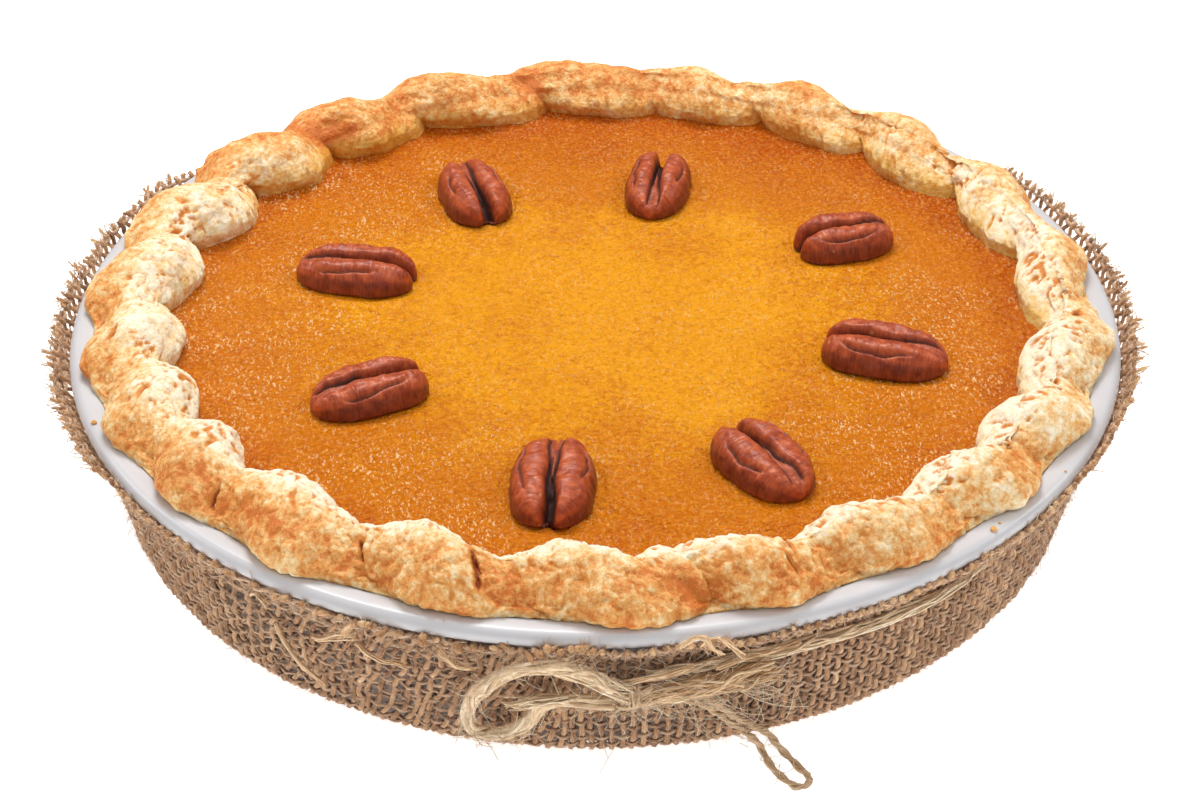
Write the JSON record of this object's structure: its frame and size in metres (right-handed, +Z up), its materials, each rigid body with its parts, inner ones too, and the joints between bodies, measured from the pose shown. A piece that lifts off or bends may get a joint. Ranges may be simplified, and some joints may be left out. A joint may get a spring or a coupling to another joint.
{
  "type": "pumpkin pie in a ceramic dish",
  "caption": "Pumpkin pie with pecan halves and a fluted crust in a round white dish, wrapped in burlap and tied with twine.",
  "frame": {"origin": "on the table under the middle of the dish", "axes": "+Z up, -Y towards the side with the knot and the loops of the twine, +X to the right seen from that side"},
  "size_m": [0.2798, 0.2798, 0.057],
  "materials": {
    "ceramic": "white glaze, glossy",
    "burlap": "open plain weave of jute, matt, fuzzy",
    "crust": "baked flaky pastry, pale on top and browned in the folds, matt",
    "filling": "baked pumpkin custard, moist and glossy with fine bumps",
    "pecan": "dry pecan skin, satin on the ridges and dark in the grooves",
    "twine": "loosely spun jute fibres, matt with a faint sheen"
  },
  "bodies": {
    "root": {"burlap_band": "burlap", "dish": "ceramic", "crust": "crust", "filling": "filling", "pecan_1": "pecan", "pecan_2": "pecan", "pecan_3": "pecan", "pecan_4": "pecan", "pecan_5": "pecan", "pecan_6": "pecan", "pecan_7": "pecan", "pecan_8": "pecan", "twine_ring": "twine", "twine_knot": "twine", "twine_bow": "twine", "twine_tail": "twine"}
  },
  "joints": []
}
